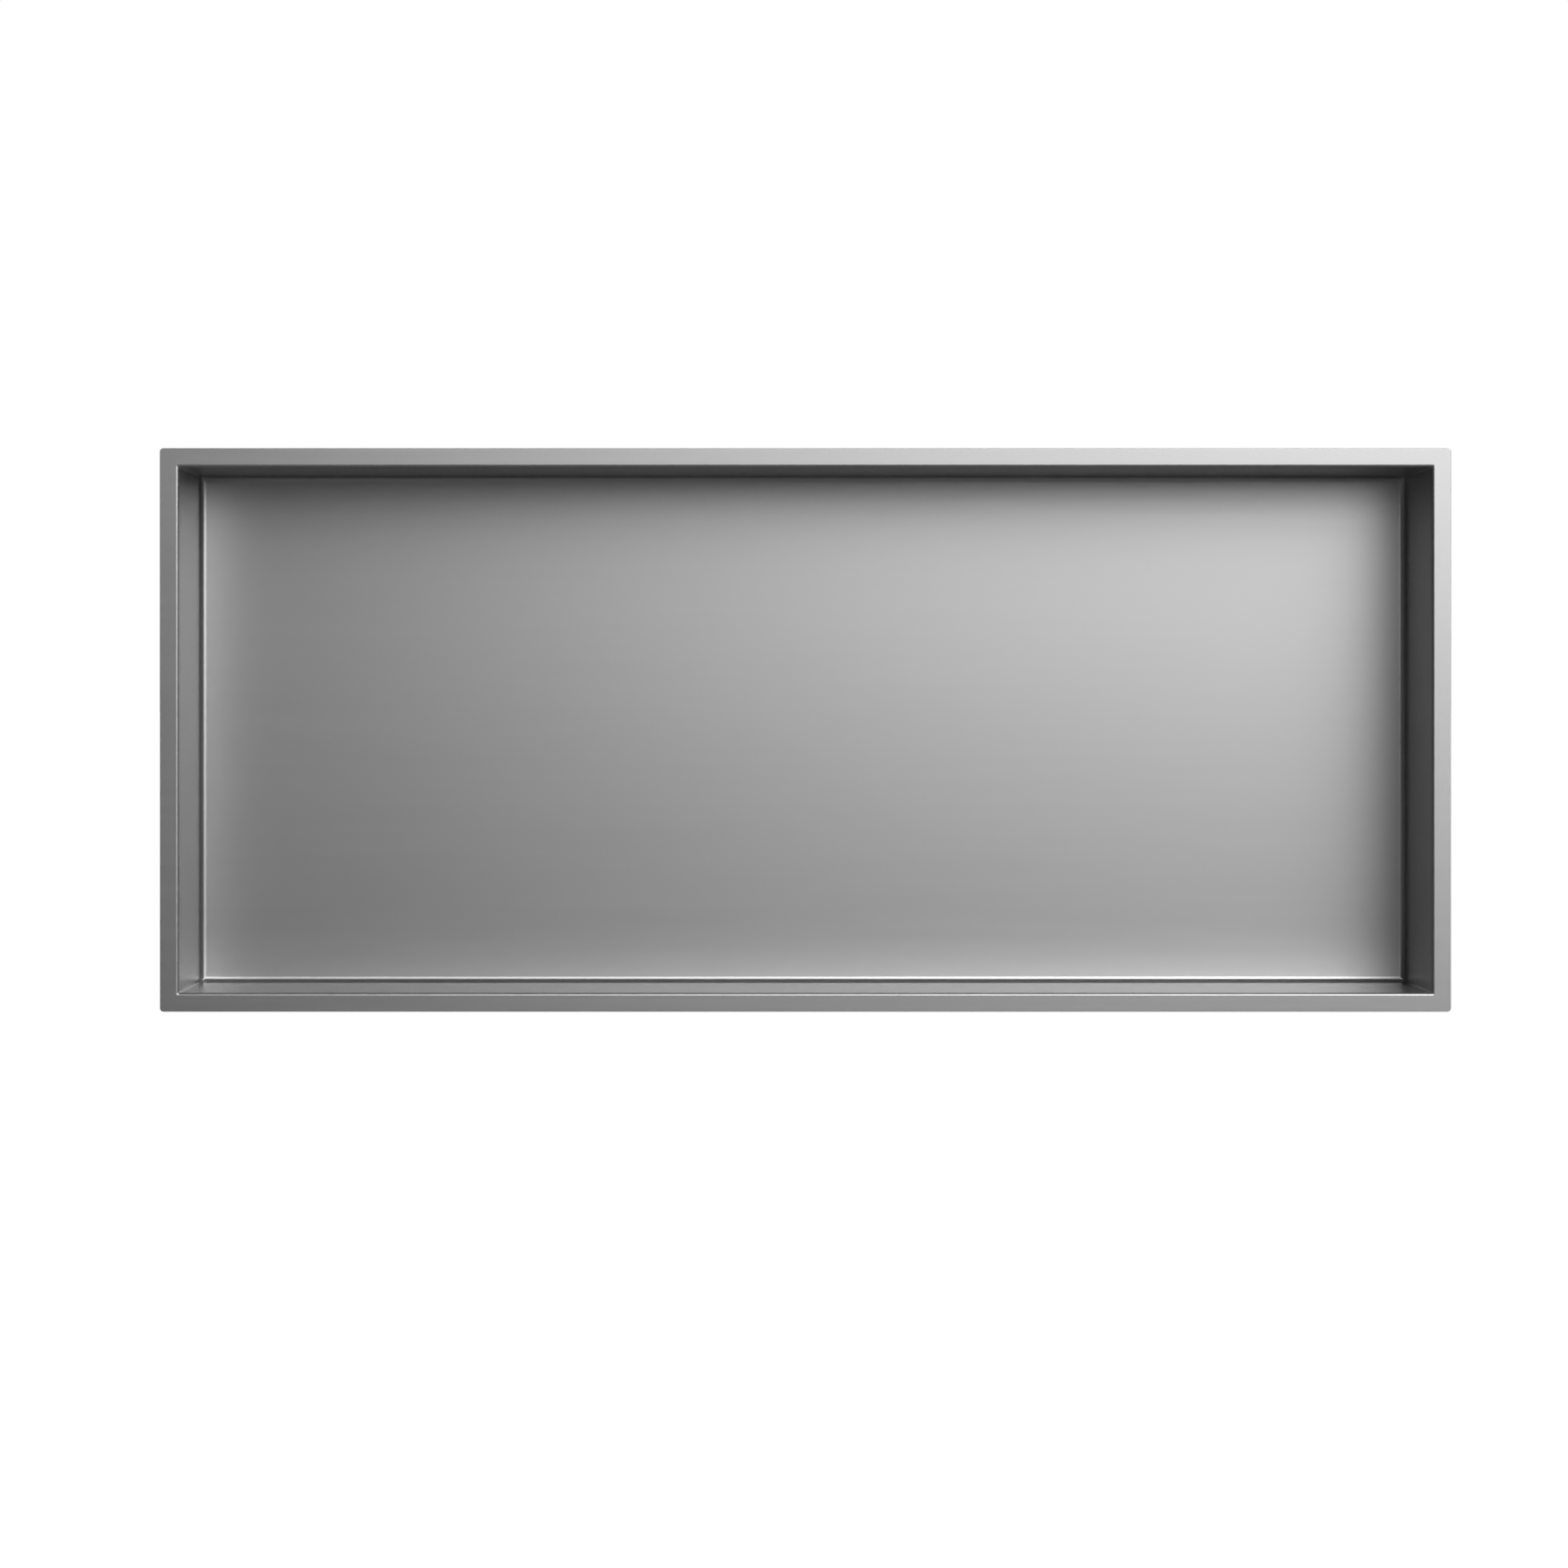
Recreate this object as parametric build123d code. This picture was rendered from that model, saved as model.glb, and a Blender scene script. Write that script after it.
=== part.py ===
from build123d import *

import os

# Shower niche insert: an open-fronted box of stainless sheet with a flat rim that laps the tiles.
# Millimetres. X runs along the niche, Y into the wall and Z up. The origin is the middle of the
# opening on the face of the tiles, which is the plane that the back of the rim lies on.

# Driving dimensions
rim_length = 710.0          # rim, edge to edge along X
rim_height = 310.0          # rim, edge to edge along Z
rim_width = 10.5            # rim edge to the inside face of the wall
overall_depth = 100.0       # front of the rim to the outside of the back panel
sheet = 1.2                 # thickness of the stainless sheet
rim_bend_radius = 0.3       # inside radius of the fold from wall to rim
back_bend_radius = 3.5      # inside radius of the fold from wall to back panel
rim_corner_radius = 2.0     # rounding of the rim's four outer corners, seen from the front
edge_break = 0.3            # rounding left on the rim's cut edge when it is deburred

# Worked out from those
rim_front = -sheet
back_inside = rim_front + overall_depth - sheet
inside_length = rim_length - 2 * rim_width
inside_height = rim_height - 2 * rim_width
panel_length = inside_length - 2 * back_bend_radius
panel_height = inside_height - 2 * back_bend_radius


def fold_section():
    """Section through the left wall: rim, wall and the fold into the back panel, one sheet thick."""
    rim_edge = -rim_length / 2
    wall_face = rim_edge + rim_width
    panel_edge = wall_face + 2 * back_bend_radius
    seen_face = FilletPolyline(
        (rim_edge, rim_front),
        (wall_face, rim_front),
        (wall_face, back_inside),
        (panel_edge, back_inside),
        radius=[rim_bend_radius + sheet, back_bend_radius],
    )
    return make_face(offset(seen_face, amount=sheet, side=Side.LEFT))


def folded_border():
    """The section carried round the opening, mitred at the four corners as the sheet is welded."""
    left, right = -rim_length / 2, rim_length / 2
    low, high = -rim_height / 2, rim_height / 2
    round_the_opening = Polyline(
        (left, 0, 0),
        (left, 0, high),
        (right, 0, high),
        (right, 0, low),
        (left, 0, low),
        close=True,
    )
    return sweep(fold_section(), path=round_the_opening, transition=Transition.RIGHT)


def back_panel():
    """Flat middle of the back, between the folds."""
    outline = Plane.XZ.offset(-back_inside) * Rectangle(panel_length, panel_height)
    return extrude(outline, amount=-sheet)


def round_rim_corners(body):
    """Take the points off the rim's four outer corners."""
    across_the_rim = body.edges().filter_by(Axis.Y)
    corners = across_the_rim.sort_by(lambda edge: abs(edge.center().X) + abs(edge.center().Z))[-4:]
    return fillet(corners, rim_corner_radius)


def break_rim_edge(body):
    """Deburr the cut edge of the rim, front and back."""
    facing = body.faces().filter_by(Axis.Y).group_by(Axis.Y)
    rim_faces = facing[0] + facing[1]
    cut_edges = [edge for face in rim_faces for edge in face.outer_wire().edges()]
    return fillet(cut_edges, edge_break)


niche_body = folded_border() + back_panel()
niche_body = round_rim_corners(niche_body)
niche_body = break_rim_edge(niche_body)

os.makedirs("parts", exist_ok=True)
export_step(niche_body, "parts/niche_body.step")
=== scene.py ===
import math

import bpy
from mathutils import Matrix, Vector


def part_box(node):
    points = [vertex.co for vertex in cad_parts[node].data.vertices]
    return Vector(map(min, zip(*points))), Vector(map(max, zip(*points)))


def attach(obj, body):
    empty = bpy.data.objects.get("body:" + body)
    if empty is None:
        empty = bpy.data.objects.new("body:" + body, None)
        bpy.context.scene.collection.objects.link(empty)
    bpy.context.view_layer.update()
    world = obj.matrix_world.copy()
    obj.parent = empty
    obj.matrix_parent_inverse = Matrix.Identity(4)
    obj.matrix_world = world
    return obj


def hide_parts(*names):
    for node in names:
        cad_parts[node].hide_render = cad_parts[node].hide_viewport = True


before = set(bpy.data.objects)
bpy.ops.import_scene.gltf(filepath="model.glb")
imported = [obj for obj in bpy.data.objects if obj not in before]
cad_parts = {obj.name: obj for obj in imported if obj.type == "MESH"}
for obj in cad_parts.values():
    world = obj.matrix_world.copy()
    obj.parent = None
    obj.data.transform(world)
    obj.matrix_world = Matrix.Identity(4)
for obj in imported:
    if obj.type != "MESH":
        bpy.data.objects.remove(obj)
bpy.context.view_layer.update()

bl_info = {
    "name": "Shower niche insert",
    "version": (1, 0, 0),
    "blender": (4, 5, 0),
    "location": "3D View > Sidebar > Niche",
    "description": "Dresses a folded stainless shower niche insert and sets a plain studio round it",
    "category": "Object",
}

BODY_NODE = "niche_body"

node_low, node_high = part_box(BODY_NODE)
node_size = [high - low for low, high in zip(node_low, node_high)]

QUARTER_TURN = math.pi / 2
MILLIMETRES_PER_METRE = 1000
RIM_SIDES = 4
MERGE_DISTANCE = 1e-5       # points nearer than this become one

# Values kept on the mesh
GRAIN_MAP = "grain_map"     # place on the flat blank
UNFOLDED = "unfolded"       # length along the section before it was folded
ROLLED = "rolled"           # 1 on the hidden side

# Drawn grain
LINE_DETAIL = 4.0           # how fine the noise of the lines goes
BAND_DETAIL = 2.0           # how fine the noise of the bands goes
GRAIN_HARSHNESS = 0.6       # weight of the fine part of the noise
BAND_LENGTH = 4.0           # length of a band, in lengths of a line
BAND_WIDTH = 12.0           # width of a band, in widths of a line

# Studio
DIM_BELOW = -0.1            # depth part of a direction, below which the world is dim
WHITE_ABOVE = 0.6           # depth part of a direction, above which the world is white
FAR_LIGHT = 0.39            # light on the far floor, where 1 would show a white floor as white
FLOOR_ROUGHNESS = 0.9
WHITE = (1.0, 1.0, 1.0, 1.0)


# Settings that a user would change

def length(name, description, default):
    """A size in metres."""
    return bpy.props.FloatProperty(
        name=name, description=description, default=default, min=0.0, unit="LENGTH", precision=5
    )


def factor(name, description, default):
    """A share from 0 to 1."""
    return bpy.props.FloatProperty(
        name=name, description=description, default=default, min=0.0, max=1.0, subtype="FACTOR"
    )


def count(name, description, default):
    """A whole number of steps."""
    return bpy.props.IntProperty(name=name, description=description, default=default, min=1)


def tone(name, description, default):
    """A neutral colour of this brightness."""
    return bpy.props.FloatVectorProperty(
        name=name, description=description, default=(default, default, default), size=3,
        min=0.0, max=1.0, subtype="COLOR",
    )


def angle(name, description, degrees):
    """An angle, given in degrees."""
    return bpy.props.FloatProperty(
        name=name, description=description, default=math.radians(degrees), subtype="ANGLE"
    )


def pixels(name, description, default):
    """A distance in pixels of the photograph."""
    return bpy.props.FloatProperty(
        name=name, description=description, default=default, min=0.0, subtype="PIXEL"
    )


def brightness(name, description, default):
    """A brightness, where 1 is white."""
    return bpy.props.FloatProperty(name=name, description=description, default=default, min=0.0)


class NicheSizes(bpy.types.PropertyGroup):
    """Sizes of the folded sheet and its welds."""

    rim_length: length("Rim length", "Rim, edge to edge along X", node_size[0])
    rim_height: length("Rim height", "Rim, edge to edge along Z", node_size[2])
    overall_depth: length("Overall depth", "Front of the rim to the outside of the back", node_size[1])
    rim_width: length("Rim width", "Rim edge to the inside face of the wall", 0.0105)
    sheet: length("Sheet", "Thickness of the stainless sheet", 0.0012)
    rim_bend_radius: length("Rim bend radius", "Inside radius of the fold from wall to rim", 0.0003)
    back_bend_radius: length("Back bend radius", "Inside radius of the fold from wall to back", 0.0035)
    corner_radius: length("Corner radius", "Rounding of the rim's outer corners", 0.002)
    edge_break: length("Edge break", "Rounding left on the rim's cut edge", 0.0003)
    weld_radius: length("Weld radius", "Rounding of the ground welds at the four corners", 0.0006)
    bend_steps: count("Bend steps", "Facets round each fold", 12)
    corner_steps: count("Corner steps", "Facets round each corner of the rim and of the box", 8)


class NicheFinish(bpy.types.PropertyGroup):
    """Looks of the steel, brushed in front and as rolled behind."""

    steel: tone("Steel", "Reflected colour of the steel", 0.45)
    glancing: tone("Glancing", "Share of the glancing reflection that the steel keeps", 0.85)
    brush_length: length("Brush length", "Typical length of a brush line", 0.045)
    brush_width: length("Brush width", "Typical width of a brush line", 0.0004)
    brush_depth: length("Brush depth", "Typical depth of a brush line", 0.0000036)
    brushed_shade: factor("Brushed shade", "How far the brushed side's colour varies", 0.03)
    brushed_roughness: factor("Brushed roughness", "Mean roughness of the brushed side", 0.35)
    brushed_spread: factor("Brushed spread", "How far the brushed side's roughness varies", 0.03)
    roll_length: length("Roll length", "Typical length of a roll line", 0.27)
    roll_width: length("Roll width", "Typical width of a roll line", 0.0016)
    rolled_shade: factor("Rolled shade", "How far the rolled side's colour varies", 0.07)
    rolled_roughness: factor("Rolled roughness", "Mean roughness of the rolled side", 0.42)
    rolled_spread: factor("Rolled spread", "How far the rolled side's roughness varies", 0.06)
    weld_band: length("Weld band", "Width of the ground steel beside each hidden weld", 0.006)
    weld_dulling: factor("Weld dulling", "Roughness that grinding the hidden welds adds", 0.14)


class NicheStage(bpy.types.PropertyGroup):
    """Camera, lamp, world and floor."""

    photo_side: pixels("Photo side", "Width and height of the photograph", 1600.0)
    rim_left: pixels("Rim left", "Column of the rim's left edge in the photograph", 163.0)
    rim_right: pixels("Rim right", "Column of the rim's right edge in the photograph", 1480.8)
    rim_top: pixels("Rim top", "Row of the rim's top edge in the photograph", 457.3)
    rim_bottom: pixels("Rim bottom", "Row of the rim's bottom edge in the photograph", 1032.5)
    camera_distance: length("Camera distance", "Camera to the front of the rim", 2.44)
    camera_left: length("Camera left", "How far the camera stands left of the niche's middle", 0.036)
    camera_up: length("Camera up", "How far the camera stands above the niche's middle", 0.009)
    sensor: length("Sensor", "Width of the camera's sensor", 0.036)
    key_right: angle("Key right", "Key lamp, to the right of straight in front", 22.8)
    key_up: angle("Key up", "Key lamp, above straight in front", 26.7)
    key_distance: length("Key distance", "Key lamp to the middle of the niche", 3.85)
    key_width: length("Key width", "Width of the key lamp", 3.87)
    key_height: length("Key height", "Height of the key lamp", 3.55)
    key_spread: angle("Key spread", "Angle that the key lamp's grid lets light fan out to", 92.9)
    key_brightness: brightness("Key brightness", "Brightness of the key lamp's face, seen head on", 4.95)
    studio_brightness: brightness("Studio brightness", "Brightness of the studio in front", 0.02)
    floor_drop: length("Floor drop", "Floor below the middle of the niche", 3.0)
    floor_half: length("Floor half size", "Middle of the floor to its edges", 40.0)
    floor_ahead: length("Floor ahead", "How far in front of the niche the floor starts to pale", 0.5)
    floor_behind: length("Floor behind", "How far behind the niche the floor is palest", 3.5)
    # Painted shade: the darker floor colour in front stands in for an unlit studio front.
    floor_near: factor("Floor near", "Colour of the floor in front", 0.35)
    floor_far: factor("Floor far", "Colour of the floor behind", 0.8)
    floor_glow: brightness("Floor glow", "Light that the floor behind gives, as a lit backdrop does", 0.9)


# Small helpers for node trees

def feed(tree, socket, value):
    """Link a socket to another, or set its plain value."""
    if isinstance(value, bpy.types.NodeSocket):
        tree.links.new(value, socket)
    else:
        socket.default_value = value


def add(tree, kind, inputs=None, **settings):
    """Add a node with these settings, then feed its inputs by name."""
    made = tree.nodes.new(kind)
    for name, value in settings.items():
        setattr(made, name, value)
    for name, value in (inputs or {}).items():
        feed(tree, made.inputs[name], value)
    return made


def calc(tree, operation, *values):
    """The result of a Math node on these values."""
    made = tree.nodes.new("ShaderNodeMath")
    made.operation = operation
    for socket, value in zip(made.inputs, values):
        feed(tree, socket, value)
    return made.outputs[0]


def vector(tree, x=0.0, y=0.0, z=0.0):
    """A vector from three numbers."""
    return add(tree, "ShaderNodeCombineXYZ", {"X": x, "Y": y, "Z": z}).outputs[0]


def apart(tree, value):
    """The three numbers of a vector."""
    return add(tree, "ShaderNodeSeparateXYZ", {"Vector": value}).outputs


def ramp(tree, value, low, high, start, end):
    """A value that goes smoothly from start to end as another goes from low to high."""
    return add(tree, "ShaderNodeMapRange", {
        "Value": value, "From Min": low, "From Max": high, "To Min": start, "To Max": end,
    }, interpolation_type="SMOOTHSTEP").outputs[0]


def whole_runs(tree, index, run):
    """How many whole runs of this length come before an index. The half keeps rounding from losing one."""
    return calc(tree, "FLOOR", calc(tree, "DIVIDE", calc(tree, "ADD", index, 0.5), run))


def by_index(tree, data_type, values):
    """A field that takes its value from this list by index."""
    switch = add(tree, "GeometryNodeIndexSwitch", data_type=data_type)
    while len(switch.index_switch_items) < len(values):
        switch.index_switch_items.new()
    index = tree.nodes.new("GeometryNodeInputIndex").outputs[0]
    feed(tree, switch.inputs["Index"], index)
    for number, value in enumerate(values):
        feed(tree, switch.inputs[str(number)], value)
    return switch.outputs[0]


def geometry_tree(name, inputs):
    """A Geometry Nodes tree with these named inputs, and its inputs by name."""
    tree = bpy.data.node_groups.new(name, "GeometryNodeTree")
    tree.interface.new_socket("Mesh", in_out="OUTPUT", socket_type="NodeSocketGeometry")
    for label, kind in inputs.items():
        tree.interface.new_socket(label, in_out="INPUT", socket_type=kind)
    return tree, tree.nodes.new("NodeGroupInput").outputs


def grow(name, tree, values):
    """An object whose mesh the tree makes from these values, as a plain mesh with weighted normals."""
    piece = bpy.data.objects.new(name, bpy.data.meshes.new(name))
    bpy.context.scene.collection.objects.link(piece)
    nodes = piece.modifiers.new("Nodes", "NODES")
    nodes.node_group = tree
    for socket in tree.interface.items_tree:
        if socket.in_out == "INPUT":
            nodes[socket.identifier] = values[socket.name]
    piece.modifiers.new("Normals", "WEIGHTED_NORMAL")
    graph = bpy.context.evaluated_depsgraph_get()
    mesh = bpy.data.meshes.new_from_object(
        piece.evaluated_get(graph), preserve_all_data_layers=True, depsgraph=graph
    )
    if not mesh.polygons:
        raise RuntimeError(name + " came out empty")
    piece.modifiers.clear()
    piece.data = mesh
    mesh.name = name
    return piece


# The folded body

# Inputs of its tree, labelled as the settings that they take
BODY_LENGTHS = (
    "Rim length", "Rim height", "Overall depth", "Rim width", "Sheet", "Rim bend radius",
    "Back bend radius", "Corner radius", "Edge break", "Weld radius",
)
BODY_STEPS = ("Bend steps", "Corner steps")
BODY_STEELS = ("Brushed steel", "Rolled steel")
BODY_INPUTS = {
    **dict.fromkeys(BODY_LENGTHS, "NodeSocketFloat"),
    **dict.fromkeys(BODY_STEPS, "NodeSocketInt"),
    **dict.fromkeys(BODY_STEELS, "NodeSocketMaterial"),
}


class SheetSizes:
    """Sizes that the tree works out from its inputs."""

    def __init__(self, tree, size):
        self.seen_wall = size["Rim width"]
        self.hidden_wall = calc(tree, "SUBTRACT", size["Rim width"], size["Sheet"])
        self.panel_edge = calc(tree, "ADD", size["Rim width"], size["Back bend radius"])
        self.rim_front = calc(tree, "MULTIPLY", size["Sheet"], -1.0)
        self.back_outside = calc(tree, "SUBTRACT", size["Overall depth"], size["Sheet"])
        self.back_inside = calc(tree, "SUBTRACT", self.back_outside, size["Sheet"])
        self.seen_rim_bend = calc(tree, "ADD", size["Rim bend radius"], size["Sheet"])
        self.hidden_back_bend = calc(tree, "ADD", size["Back bend radius"], size["Sheet"])
        self.half_length = calc(tree, "MULTIPLY", size["Rim length"], 0.5)
        self.half_height = calc(tree, "MULTIPLY", size["Rim height"], 0.5)


def section_curve(tree, size, sheet):
    """Section of the sheet, from the back panel's inside round the rim to its outside. X is the inset
    from the rim's edge and Y the depth into the wall."""
    corners = (
        (sheet.panel_edge, sheet.back_inside, 0.0),
        (sheet.seen_wall, sheet.back_inside, size["Back bend radius"]),
        (sheet.seen_wall, sheet.rim_front, sheet.seen_rim_bend),
        (0.0, sheet.rim_front, size["Edge break"]),
        (0.0, 0.0, size["Edge break"]),
        (sheet.hidden_wall, 0.0, size["Rim bend radius"]),
        (sheet.hidden_wall, sheet.back_outside, sheet.hidden_back_bend),
        (sheet.panel_edge, sheet.back_outside, 0.0),
    )
    places = by_index(tree, "VECTOR", [vector(tree, inset, depth) for inset, depth, _ in corners])
    radii = by_index(tree, "FLOAT", [radius for _, _, radius in corners])
    line = add(tree, "GeometryNodeMeshLine", {"Count": len(corners)})
    curve = add(tree, "GeometryNodeMeshToCurve", {"Mesh": line.outputs["Mesh"]})
    bent = add(tree, "GeometryNodeSetPosition", {"Geometry": curve.outputs["Curve"], "Position": places})
    folded = add(
        tree, "GeometryNodeFilletCurve",
        {"Curve": bent.outputs["Geometry"], "Count": size["Bend steps"], "Radius": radii,
         "Limit Radius": True},
        mode="POLY",
    )
    return folded.outputs["Curve"]


def read_section(tree, curve, value, data_type, index):
    """A value of the section curve at this point of it."""
    sample = add(tree, "GeometryNodeSampleIndex", data_type=data_type, domain="POINT")
    feed(tree, sample.inputs["Geometry"], curve)
    feed(tree, sample.inputs["Value"], value)
    feed(tree, sample.inputs["Index"], index)
    return sample.outputs["Value"]


def store(tree, geometry, name, data_type, domain, value):
    """Keep a field on the mesh under this name."""
    kept = add(tree, "GeometryNodeStoreNamedAttribute", data_type=data_type, domain=domain)
    feed(tree, kept.inputs["Geometry"], geometry)
    kept.inputs["Name"].default_value = name
    feed(tree, kept.inputs["Value"], value)
    return kept.outputs["Geometry"]


def recall(tree, name, data_type):
    """A field that was kept on the mesh."""
    return add(tree, "GeometryNodeInputNamedAttribute", {"Name": name}, data_type=data_type).outputs[0]


def insets(tree, sheet):
    """How far a point lies inside the rim's ends and inside its top or bottom edge."""
    place = apart(tree, tree.nodes.new("GeometryNodeInputPosition").outputs[0])
    from_end = calc(tree, "SUBTRACT", sheet.half_length, calc(tree, "ABSOLUTE", place["X"]))
    from_edge = calc(tree, "SUBTRACT", sheet.half_height, calc(tree, "ABSOLUTE", place["Z"]))
    return place, from_end, from_edge


def carry_round(tree, size, sheet, curve):
    """The section carried round the rim: a grid of section points by points round the rim. Its corners
    have the rim's corner radius at the outer edge and the weld's radius farther in, down to nothing
    where the fold meets the flat back."""
    points = add(tree, "GeometryNodeAttributeDomainSize", {"Geometry": curve}, component="CURVE")
    section_points = points.outputs["Point Count"]
    per_corner = calc(tree, "ADD", size["Corner steps"], 1.0)
    round_rim = calc(tree, "MULTIPLY", per_corner, float(RIM_SIDES))
    columns = calc(tree, "ADD", round_rim, 1.0)
    grid = add(tree, "GeometryNodeMeshGrid", {"Vertices X": section_points, "Vertices Y": columns})
    index = tree.nodes.new("GeometryNodeInputIndex").outputs[0]

    row = whole_runs(tree, index, columns)
    column = calc(tree, "SUBTRACT", index, calc(tree, "MULTIPLY", row, columns))
    step = calc(tree, "MODULO", column, round_rim)
    corner = whole_runs(tree, step, per_corner)
    along = calc(tree, "SUBTRACT", step, calc(tree, "MULTIPLY", corner, per_corner))
    turned = calc(tree, "ADD", corner, calc(tree, "DIVIDE", along, size["Corner steps"]))
    direction = calc(tree, "MULTIPLY", turned, QUARTER_TURN)
    diagonal = calc(tree, "MULTIPLY", calc(tree, "ADD", corner, 0.5), QUARTER_TURN)

    position = tree.nodes.new("GeometryNodeInputPosition").outputs[0]
    unfolded = tree.nodes.new("GeometryNodeSplineParameter").outputs["Length"]
    place = apart(tree, read_section(tree, curve, position, "FLOAT_VECTOR", row))
    inset, depth = place["X"], place["Y"]
    from_flat = calc(tree, "SUBTRACT", sheet.panel_edge, inset)
    share = calc(tree, "MINIMUM", calc(tree, "DIVIDE", from_flat, size["Back bend radius"]), 1.0)
    weld = calc(tree, "MULTIPLY", size["Weld radius"], share)
    rounding = calc(tree, "MAXIMUM", calc(tree, "SUBTRACT", size["Corner radius"], inset), weld)

    def across(half, trig):
        """Place along X or Z: out to the middle of the corner's arc, then round it."""
        side = calc(tree, "SIGN", calc(tree, trig, diagonal))
        middle = calc(tree, "SUBTRACT", half, calc(tree, "ADD", inset, rounding))
        out = calc(tree, "MULTIPLY", side, middle)
        return calc(tree, "ADD", out, calc(tree, "MULTIPLY", rounding, calc(tree, trig, direction)))

    x = across(sheet.half_length, "COSINE")
    z = across(sheet.half_height, "SINE")
    kept = store(tree, grid.outputs["Mesh"], UNFOLDED, "FLOAT", "POINT",
                 read_section(tree, curve, unfolded, "FLOAT", row))
    face_row = whole_runs(tree, index, round_rim)
    half_section = calc(tree, "MULTIPLY", section_points, 0.5)
    is_rolled = calc(tree, "GREATER_THAN", calc(tree, "ADD", face_row, 0.5), half_section)
    kept = store(tree, kept, ROLLED, "FLOAT", "FACE", is_rolled)
    moved = add(tree, "GeometryNodeSetPosition",
                {"Geometry": kept, "Position": vector(tree, x, depth, z)})
    return moved.outputs["Geometry"]


def map_grain(tree, sheet, geometry):
    """The grain map lies as the flat blank did, with its first axis along X: at the top and bottom
    that runs along the fold, and at the two ends across it."""
    place, from_end, from_edge = insets(tree, sheet)
    along_fold = add(tree, "GeometryNodeFieldOnDomain", domain="FACE", data_type="FLOAT")
    feed(tree, along_fold.inputs["Value"], calc(tree, "LESS_THAN", from_edge, from_end))
    unfolded = recall(tree, UNFOLDED, "FLOAT")

    def either(across, along):
        """One value where the grain runs across the fold, the other where it runs along it."""
        return add(tree, "ShaderNodeMix",
                   {"Factor": along_fold.outputs["Value"], "A": across, "B": along}).outputs["Result"]

    spot = vector(tree, either(unfolded, place["X"]), either(place["Z"], unfolded))
    return store(tree, geometry, GRAIN_MAP, "FLOAT2", "CORNER", spot)


def flat_panel(tree, size, sheet, depth, turn, rolled):
    """One face of the back panel between the folds, turned up from lying flat."""
    inset_twice = calc(tree, "MULTIPLY", sheet.panel_edge, 2.0)
    grid = add(tree, "GeometryNodeMeshGrid", {
        "Size X": calc(tree, "SUBTRACT", size["Rim length"], inset_twice),
        "Size Y": calc(tree, "SUBTRACT", size["Rim height"], inset_twice),
        "Vertices X": 2,
        "Vertices Y": 2,
    })
    stood = add(tree, "GeometryNodeTransform", {
        "Geometry": grid.outputs["Mesh"],
        "Translation": vector(tree, y=depth),
        "Rotation": (turn, 0.0, 0.0),
    })
    place = apart(tree, tree.nodes.new("GeometryNodeInputPosition").outputs[0])
    mapped = store(tree, stood.outputs["Geometry"], GRAIN_MAP, "FLOAT2", "CORNER",
                   vector(tree, place["X"], place["Z"]))
    return store(tree, mapped, ROLLED, "FLOAT", "FACE", rolled)


def clad(tree, geometry, brushed, rolled):
    """Smooth shading and the two finishes."""
    real = add(tree, "GeometryNodeRealizeInstances", {"Geometry": geometry})
    smooth = add(tree, "GeometryNodeSetShadeSmooth", {"Geometry": real.outputs["Geometry"]})
    front = add(tree, "GeometryNodeSetMaterial",
                {"Geometry": smooth.outputs["Geometry"], "Material": brushed})
    behind = add(tree, "GeometryNodeSetMaterial", {
        "Geometry": front.outputs["Geometry"],
        "Selection": recall(tree, ROLLED, "FLOAT"),
        "Material": rolled,
    })
    return behind.outputs["Geometry"]


def body_tree():
    """The whole body: folded border, both faces of the back panel, seams closed."""
    tree, size = geometry_tree("Folded niche body", BODY_INPUTS)
    sheet = SheetSizes(tree, size)
    curve = section_curve(tree, size, sheet)
    border = map_grain(tree, sheet, carry_round(tree, size, sheet, curve))
    inside = flat_panel(tree, size, sheet, sheet.back_inside, QUARTER_TURN, 0.0)
    outside = flat_panel(tree, size, sheet, sheet.back_outside, -QUARTER_TURN, 1.0)
    joined = tree.nodes.new("GeometryNodeJoinGeometry")
    for part in (outside, inside, border):
        tree.links.new(part, joined.inputs["Geometry"])
    closed = add(tree, "GeometryNodeMergeByDistance",
                 {"Geometry": joined.outputs["Geometry"], "Distance": MERGE_DISTANCE})
    finished = clad(tree, closed.outputs["Geometry"], size["Brushed steel"], size["Rolled steel"])
    tree.links.new(finished, tree.nodes.new("NodeGroupOutput").inputs["Mesh"])
    return tree


# Finishes

def shader_group(name, inputs, outputs):
    """A shader node group with these sockets, its inputs by name and its output node."""
    group = bpy.data.node_groups.new(name, "ShaderNodeTree")
    for label, kind in inputs.items():
        group.interface.new_socket(label, in_out="INPUT", socket_type=kind)
    for label in outputs:
        group.interface.new_socket(label, in_out="OUTPUT", socket_type="NodeSocketFloat")
    entry = group.nodes.new("NodeGroupInput").outputs
    leave = group.nodes.new("NodeGroupOutput").inputs
    return group, entry, leave


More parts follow.
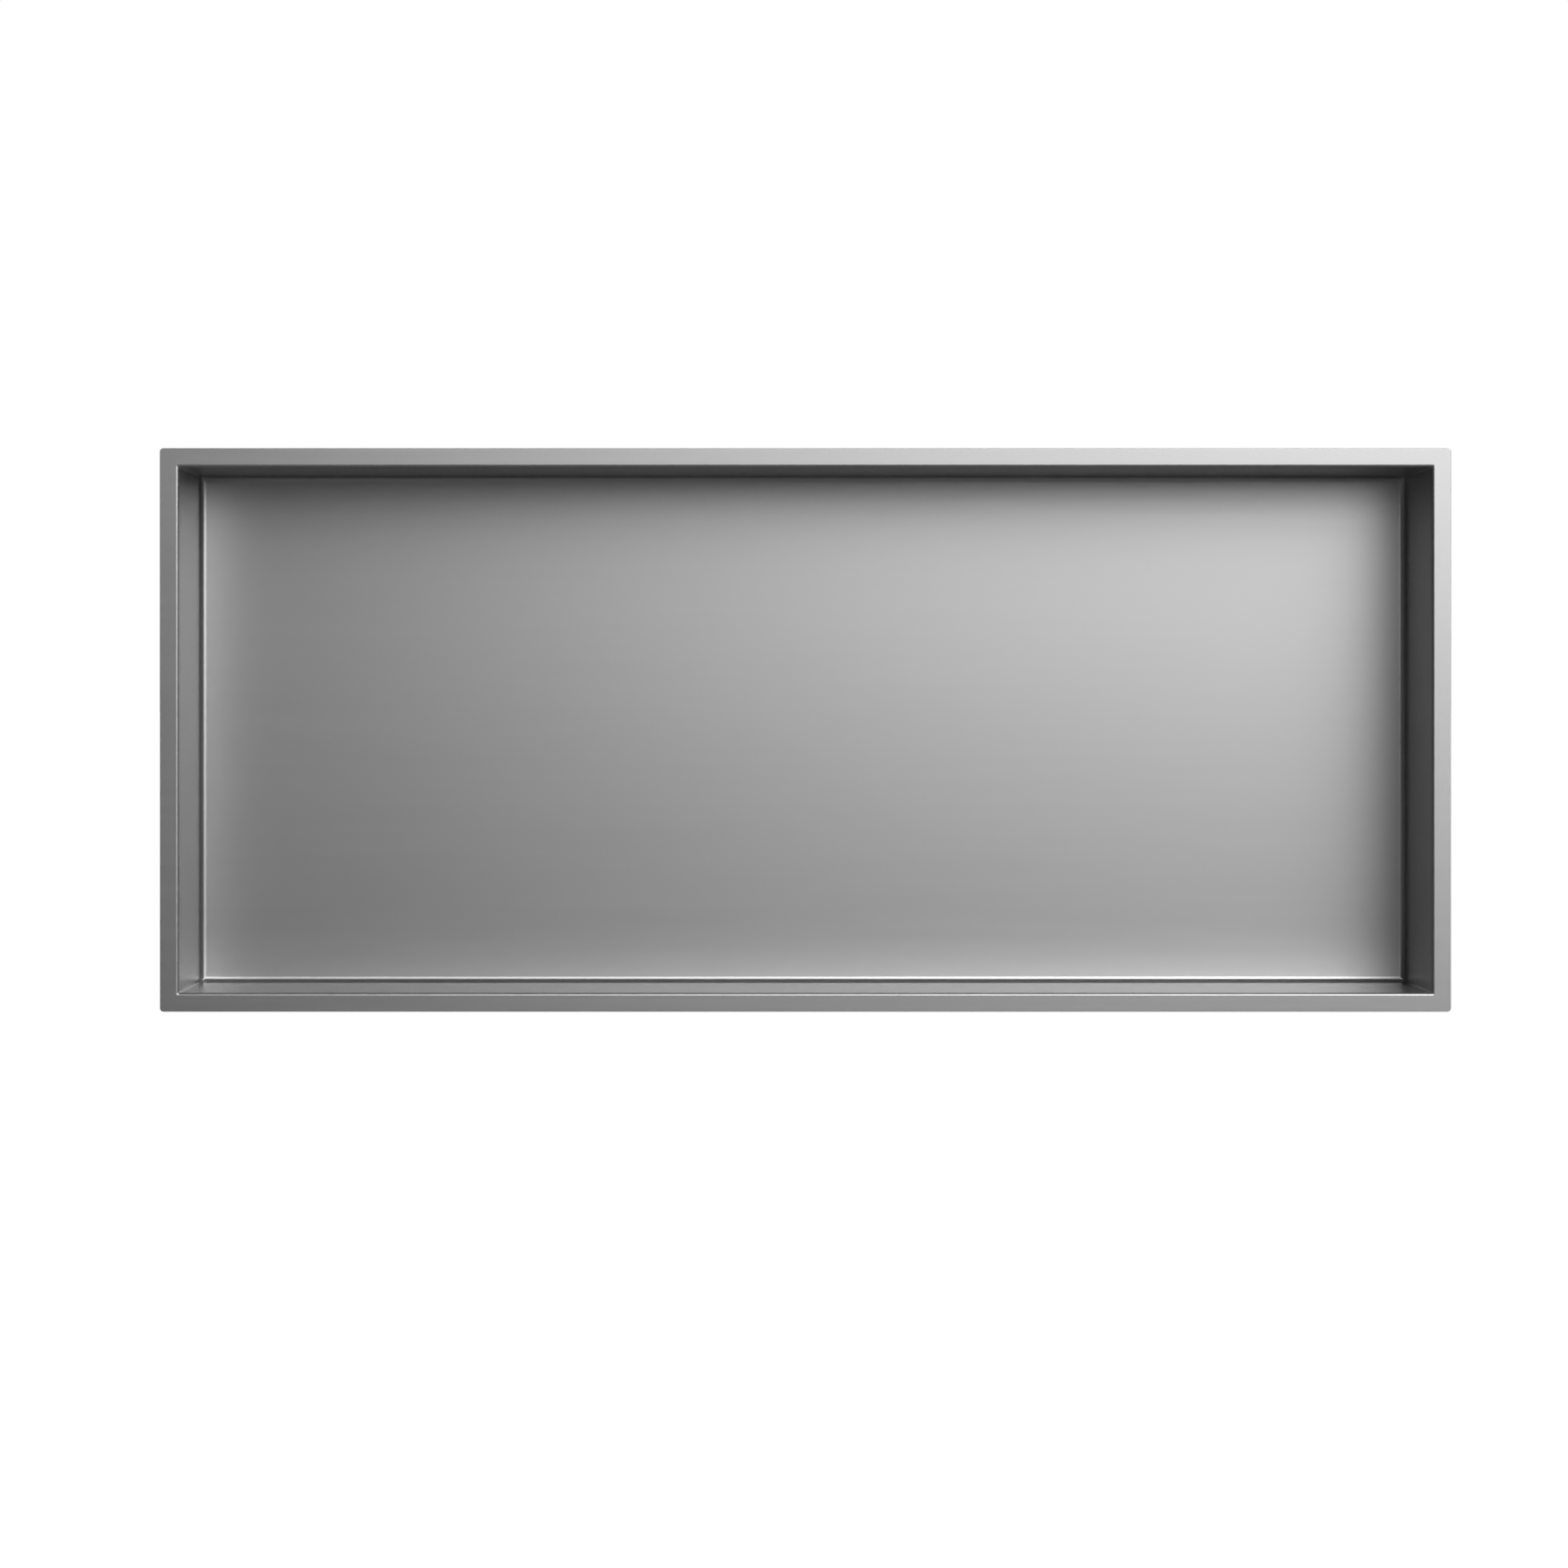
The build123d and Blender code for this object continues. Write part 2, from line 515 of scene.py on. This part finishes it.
def grain_group():
    """Lines drawn out along the map's first axis, and the broad bands that they gather in."""
    group, entry, leave = shader_group(
        "Drawn grain",
        {"Map": "NodeSocketVector", "Length": "NodeSocketFloat", "Width": "NodeSocketFloat"},
        ("Lines", "Bands"),
    )

    def streaks(lengths, widths, detail):
        """Noise stretched to so many lengths and widths of a line."""
        pitch = vector(
            group,
            calc(group, "MULTIPLY", entry["Length"], lengths),
            calc(group, "MULTIPLY", entry["Width"], widths),
            1.0,
        )
        spot = add(group, "ShaderNodeVectorMath", operation="DIVIDE")
        feed(group, spot.inputs[0], entry["Map"])
        feed(group, spot.inputs[1], pitch)
        noise = add(group, "ShaderNodeTexNoise", {
            "Vector": spot.outputs[0], "Scale": 1.0, "Detail": detail, "Roughness": GRAIN_HARSHNESS,
        }, noise_dimensions="2D")
        return noise.outputs["Fac"]

    feed(group, leave["Lines"], streaks(1.0, 1.0, LINE_DETAIL))
    feed(group, leave["Bands"], streaks(BAND_LENGTH, BAND_WIDTH, BAND_DETAIL))
    return group


def principled(name):
    """A fresh material, its tree and its Principled shader."""
    material = bpy.data.materials.new(name)
    material.use_nodes = True
    return material, material.node_tree, material.node_tree.nodes["Principled BSDF"]


def bare_steel(name, finish):
    """A fresh material of bare steel, its tree and its Principled shader."""
    material, tree, shader = principled(name)
    shader.inputs["Metallic"].default_value = 1.0
    shader.inputs["Specular Tint"].default_value = (*finish.glancing, 1.0)
    return material, tree, shader


def drawn_grain(tree, group, line_length, line_width):
    """The grain group on the piece's own grain map."""
    grain = tree.nodes.new("ShaderNodeGroup")
    grain.node_tree = group
    feed(tree, grain.inputs["Map"], add(tree, "ShaderNodeUVMap", uv_map=GRAIN_MAP).outputs[0])
    grain.inputs["Length"].default_value = line_length
    grain.inputs["Width"].default_value = line_width
    return grain.outputs


def shaded(tree, mask, colour, shade):
    """A colour that varies by this share of itself as the mask goes from 0 to 1."""
    mixed = add(tree, "ShaderNodeMix", data_type="RGBA")
    ends = {"A_Color": 1.0 - shade, "B_Color": 1.0 + shade}
    for socket in mixed.inputs:
        if socket.identifier in ends:
            share = ends[socket.identifier]
            socket.default_value = [min(channel * share, 1.0) for channel in colour] + [1.0]
    feed(tree, mixed.inputs["Factor"], mask)
    return next(socket for socket in mixed.outputs if socket.type == "RGBA")


def around(tree, mask, middle, spread):
    """A value that strays this far from its middle as the mask goes from 0 to 1."""
    return add(tree, "ShaderNodeMapRange",
               {"Value": mask, "To Min": middle - spread, "To Max": middle + spread}).outputs[0]


def brushed_steel(finish, group):
    """Satin brushed stainless: fine lines along the sheet, soft bands, and a satin lustre."""
    material, tree, shader = bare_steel("brushed_stainless", finish)
    grain = drawn_grain(tree, group, finish.brush_length, finish.brush_width)
    both = calc(tree, "MULTIPLY", calc(tree, "ADD", grain["Lines"], grain["Bands"]), 0.5)
    rough = around(tree, both, finish.brushed_roughness, finish.brushed_spread)
    bump = add(tree, "ShaderNodeBump",
               {"Height": grain["Lines"], "Strength": 1.0, "Distance": finish.brush_depth})
    feed(tree, shader.inputs["Base Color"], shaded(tree, both, finish.steel, finish.brushed_shade))
    feed(tree, shader.inputs["Roughness"], rough)
    feed(tree, shader.inputs["Normal"], bump.outputs[0])
    return material


def beside_welds(tree, size, band):
    """A mask of the ground steel beside the welds, which run along the four corners of the box."""
    place = apart(tree, add(tree, "ShaderNodeTexCoord").outputs["Object"])
    outside = size.sheet - size.rim_width
    from_end = calc(tree, "SUBTRACT", size.rim_length / 2 + outside, calc(tree, "ABSOLUTE", place["X"]))
    from_top = calc(tree, "SUBTRACT", size.rim_height / 2 + outside, calc(tree, "ABSOLUTE", place["Z"]))
    return ramp(tree, calc(tree, "MAXIMUM", from_end, from_top), band, band / 2, 0.0, 1.0)


def rolled_steel(size, finish, group):
    """The hidden side as it left the mill: smooth, a little hazy, with faint roll lines, and duller
    where the welds were ground."""
    material, tree, shader = bare_steel("rolled_stainless", finish)
    grain = drawn_grain(tree, group, finish.roll_length, finish.roll_width)
    rolled = around(tree, grain["Lines"], finish.rolled_roughness, finish.rolled_spread)
    ground = calc(tree, "MULTIPLY", beside_welds(tree, size, finish.weld_band), finish.weld_dulling)
    feed(tree, shader.inputs["Base Color"], shaded(tree, grain["Bands"], finish.steel, finish.rolled_shade))
    feed(tree, shader.inputs["Roughness"], calc(tree, "ADD", rolled, ground))
    return material


class NICHE_OT_fold_body(bpy.types.Operator):
    """Fold the niche body and finish its steel"""

    bl_idname = "niche.fold_body"
    bl_label = "Fold the body"

    def execute(self, context):
        size, finish = context.scene.niche_sizes, context.scene.niche_finish
        group = grain_group()
        labels = BODY_LENGTHS + BODY_STEPS
        values = {label: getattr(size, label.lower().replace(" ", "_")) for label in labels}
        values["Brushed steel"] = brushed_steel(finish, group)
        values["Rolled steel"] = rolled_steel(size, finish, group)
        body = grow("niche_body_dressed", body_tree(), values)
        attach(body, "root")
        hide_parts(BODY_NODE)
        return {"FINISHED"}


# Stage

def studio_lamp(stage):
    """A rectangular lamp with a grid, aimed at the middle of the opening. Its face has the stage's
    brightness seen head on."""
    lamp = bpy.data.lights.new("key", "AREA")
    lamp.shape = "RECTANGLE"
    lamp.size, lamp.size_y = stage.key_width, stage.key_height
    lamp.spread = stage.key_spread
    half_spread = stage.key_spread / 2
    passed_by_grid = 1.0 - half_spread / math.tan(half_spread)
    face = stage.key_width * stage.key_height
    lamp.energy = stage.key_brightness * passed_by_grid * math.pi * face
    towards_key = Vector((
        math.sin(stage.key_right) * math.cos(stage.key_up),
        -math.cos(stage.key_right) * math.cos(stage.key_up),
        math.sin(stage.key_up),
    ))
    placed = bpy.data.objects.new("key", lamp)
    placed.location = towards_key * stage.key_distance
    placed.rotation_euler = (-towards_key).to_track_quat("-Z", "Y").to_euler()
    bpy.context.scene.collection.objects.link(placed)


def studio_world(stage):
    """White behind the niche, fading round the sides to a dim studio in front. Below the horizon it
    carries on the tones of the floor, past the floor's edges."""
    world = bpy.data.worlds.new("studio")
    world.use_nodes = True
    tree = world.node_tree
    direction = apart(tree, add(tree, "ShaderNodeTexCoord").outputs["Generated"])
    studio = ramp(tree, direction["Y"], DIM_BELOW, WHITE_ABOVE, stage.studio_brightness, 1.0)
    # Below the horizon the world carries on the floor's painted shade in front and its painted glow behind.
    past_floor = ramp(
        tree, direction["Y"], -stage.floor_ahead / stage.floor_half, stage.floor_behind / stage.floor_half,
        stage.floor_near * FAR_LIGHT, stage.floor_far * FAR_LIGHT + stage.floor_glow,
    )
    above = calc(tree, "GREATER_THAN", direction["Z"], 0.0)
    level = add(tree, "ShaderNodeMix", {"Factor": above, "A": past_floor, "B": studio})
    tree.links.new(level.outputs["Result"], tree.nodes["Background"].inputs["Color"])
    bpy.context.scene.world = world


def studio_floor(stage):
    """A pale floor, graduated from grey in front of the niche to white behind it. The grey in front is
    painted shade, and the white behind, with its glow, is painted backdrop light.
    """
    half, drop = stage.floor_half, stage.floor_drop
    mesh = bpy.data.meshes.new("floor")
    corners = [(-half, -half, -drop), (half, -half, -drop), (half, half, -drop), (-half, half, -drop)]
    mesh.from_pydata(corners, [], [(0, 1, 2, 3)])
    floor = bpy.data.objects.new("floor", mesh)
    bpy.context.scene.collection.objects.link(floor)
    material, tree, shader = principled("pale_floor")
    shader.inputs["Roughness"].default_value = FLOOR_ROUGHNESS
    shader.inputs["Emission Color"].default_value = WHITE
    depth = apart(tree, add(tree, "ShaderNodeTexCoord").outputs["Object"])["Y"]

    def graduated(near, far):
        """A value that changes smoothly from in front of the niche to well behind it."""
        return ramp(tree, depth, -stage.floor_ahead, stage.floor_behind, near, far)

    # Painted shade: the floor's colour darkens towards the front of the niche.
    feed(tree, shader.inputs["Base Color"], graduated(stage.floor_near, stage.floor_far))
    # Painted light: the floor glows behind the niche, though it is no lamp.
    feed(tree, shader.inputs["Emission Strength"], graduated(0.0, stage.floor_glow))
    mesh.materials.append(material)


def studio_camera(stage, size):
    """Camera square on to the niche, framed as the photograph is."""
    scale = (stage.rim_right - stage.rim_left) / size.rim_length
    middle_x = (stage.rim_left + stage.rim_right) / 2
    middle_y = (stage.rim_top + stage.rim_bottom) / 2
    centre = stage.photo_side / 2
    camera = bpy.data.cameras.new("photo_camera")
    camera.sensor_width = stage.sensor * MILLIMETRES_PER_METRE
    camera.lens = camera.sensor_width * stage.camera_distance * scale / stage.photo_side
    camera.shift_x = (centre - (middle_x - stage.camera_left * scale)) / stage.photo_side
    camera.shift_y = (middle_y - stage.camera_up * scale - centre) / stage.photo_side
    placed = bpy.data.objects.new("photo_camera", camera)
    placed.location = (-stage.camera_left, -size.sheet - stage.camera_distance, stage.camera_up)
    placed.rotation_euler = (QUARTER_TURN, 0.0, 0.0)
    bpy.context.scene.collection.objects.link(placed)
    bpy.context.scene.camera = placed


class NICHE_OT_set_stage(bpy.types.Operator):
    """Set the floor, the light and the camera"""

    bl_idname = "niche.set_stage"
    bl_label = "Set the stage"

    def execute(self, context):
        stage, size = context.scene.niche_stage, context.scene.niche_sizes
        context.scene.view_settings.view_transform = "Standard"
        studio_world(stage)
        studio_floor(stage)
        studio_lamp(stage)
        studio_camera(stage, size)
        return {"FINISHED"}


# Panel and registration

class NICHE_PT_builder(bpy.types.Panel):
    """Lists the settings and the steps that build the niche from them"""

    bl_label = "Shower niche insert"
    bl_idname = "NICHE_PT_builder"
    bl_space_type = "VIEW_3D"
    bl_region_type = "UI"
    bl_category = "Niche"

    def draw(self, context):
        for name, group in SETTINGS.items():
            box = self.layout.box()
            box.label(text=group.__doc__)
            for setting in group.__annotations__:
                box.prop(getattr(context.scene, name), setting)
        for operator in OPERATORS:
            self.layout.operator(operator.bl_idname)


OPERATORS = (NICHE_OT_fold_body, NICHE_OT_set_stage)
SETTINGS = {"niche_sizes": NicheSizes, "niche_finish": NicheFinish, "niche_stage": NicheStage}
CLASSES = (*SETTINGS.values(), *OPERATORS, NICHE_PT_builder)


def register():
    """Register the classes and hang the settings on the scene."""
    for cls in CLASSES:
        bpy.utils.register_class(cls)
    for name, cls in SETTINGS.items():
        setattr(bpy.types.Scene, name, bpy.props.PointerProperty(type=cls))


def unregister():
    """Take the settings and classes away again."""
    for name in SETTINGS:
        delattr(bpy.types.Scene, name)
    for cls in reversed(CLASSES):
        bpy.utils.unregister_class(cls)


def main():
    """Build the niche and its stage."""
    register()
    bpy.ops.niche.fold_body()
    bpy.ops.niche.set_stage()


if __name__ == "__main__":
    main()
